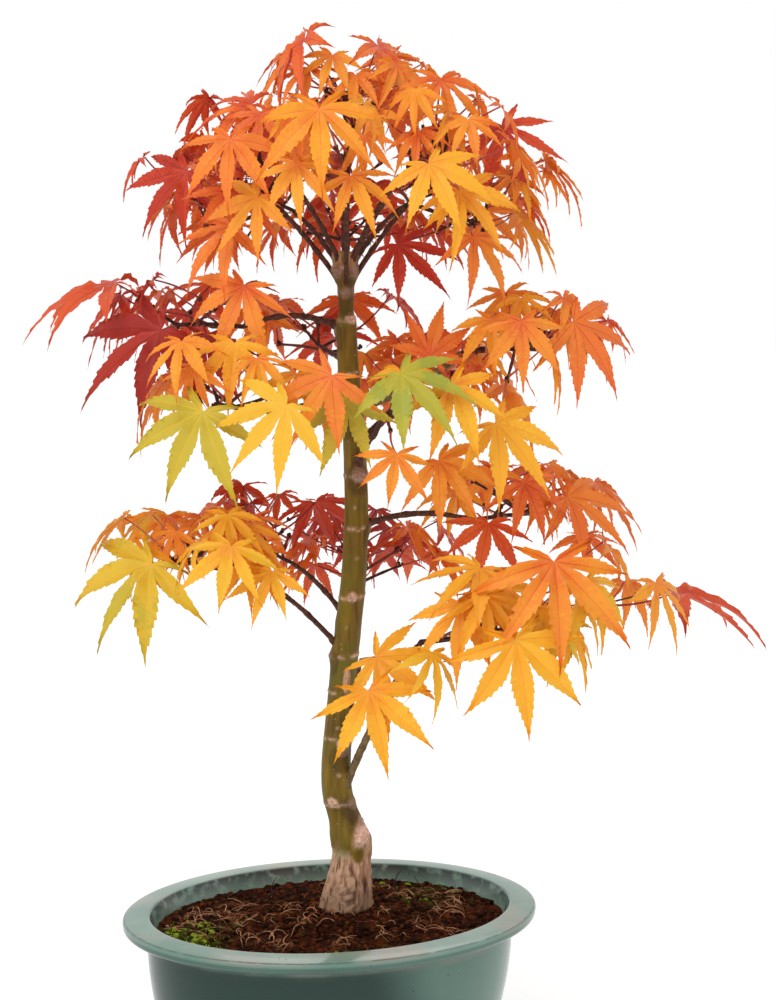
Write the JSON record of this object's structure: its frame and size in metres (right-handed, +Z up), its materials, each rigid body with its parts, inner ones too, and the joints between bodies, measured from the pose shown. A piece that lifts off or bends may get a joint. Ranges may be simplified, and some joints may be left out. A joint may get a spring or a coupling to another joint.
{
  "type": "potted bonsai japanese maple",
  "caption": "Small maple trained as a bonsai in autumn leaf: a bent bare trunk, tiers of foliage masses on thin boughs and a wide rounded crown, in an oval glazed pot of soil.",
  "frame": {"origin": "middle of the pot's flat underside", "axes": "+Z up, X along the pot's long side, Y across the pot; the front of the plant faces -Y, turned 17 degrees towards -X"},
  "size_m": [0.3668, 0.2608, 0.5169],
  "materials": {
    "glaze": "glossy blue-green glaze",
    "soil": "damp, crumbly and matt",
    "bark": "smooth olive bark, brown and fibrous at the foot",
    "bough": "thin brown bark",
    "leaf_yellow": "thin autumn leaf with a soft sheen",
    "leaf_amber": "thin autumn leaf with a soft sheen",
    "leaf_orange": "thin autumn leaf with a soft sheen",
    "leaf_scarlet": "thin autumn leaf with a soft sheen",
    "leaf_red": "thin autumn leaf with a soft sheen",
    "leaf_green": "thin autumn leaf with a soft sheen"
  },
  "bodies": {
    "root": {"pot": "glaze", "soil": "soil", "trunk": "bark", "bough_front_low": "bough", "bough_right_low": "bough", "bough_left_low": "bough", "bough_back_low": "bough", "bough_left_back_low": "bough", "bough_right_middle_low": "bough", "bough_front_middle": "bough", "bough_right_back_middle": "bough", "bough_left_middle": "bough", "bough_right_upper": "bough", "bough_back_middle": "bough", "bough_left_upper": "bough", "bough_crown_left": "bough", "bough_crown_left_front": "bough", "bough_crown_front": "bough", "bough_crown_right_front": "bough", "bough_crown_right": "bough", "bough_crown_back_right": "bough", "bough_crown_back": "bough", "bough_crown_back_left": "bough", "bough_crown_top": "bough", "leaves_front_low": "leaf_yellow", "leaves_right_low": "leaf_orange", "leaves_left_low": "leaf_yellow", "leaves_back_low": "leaf_red", "leaves_left_back_low": "leaf_red", "leaves_right_middle_low": "leaf_scarlet", "leaves_front_middle": "leaf_green", "leaves_right_back_middle": "leaf_orange", "leaves_left_middle": "leaf_yellow", "leaves_right_upper": "leaf_orange", "leaves_back_middle": "leaf_scarlet", "leaves_left_upper": "leaf_red", "leaves_crown_left": "leaf_red", "leaves_crown_left_front": "leaf_scarlet", "leaves_crown_front": "leaf_orange", "leaves_crown_right_front": "leaf_amber", "leaves_crown_right": "leaf_orange", "leaves_crown_back_right": "leaf_scarlet", "leaves_crown_back": "leaf_red", "leaves_crown_back_left": "leaf_red", "leaves_crown_top": "leaf_scarlet"}
  },
  "joints": []
}
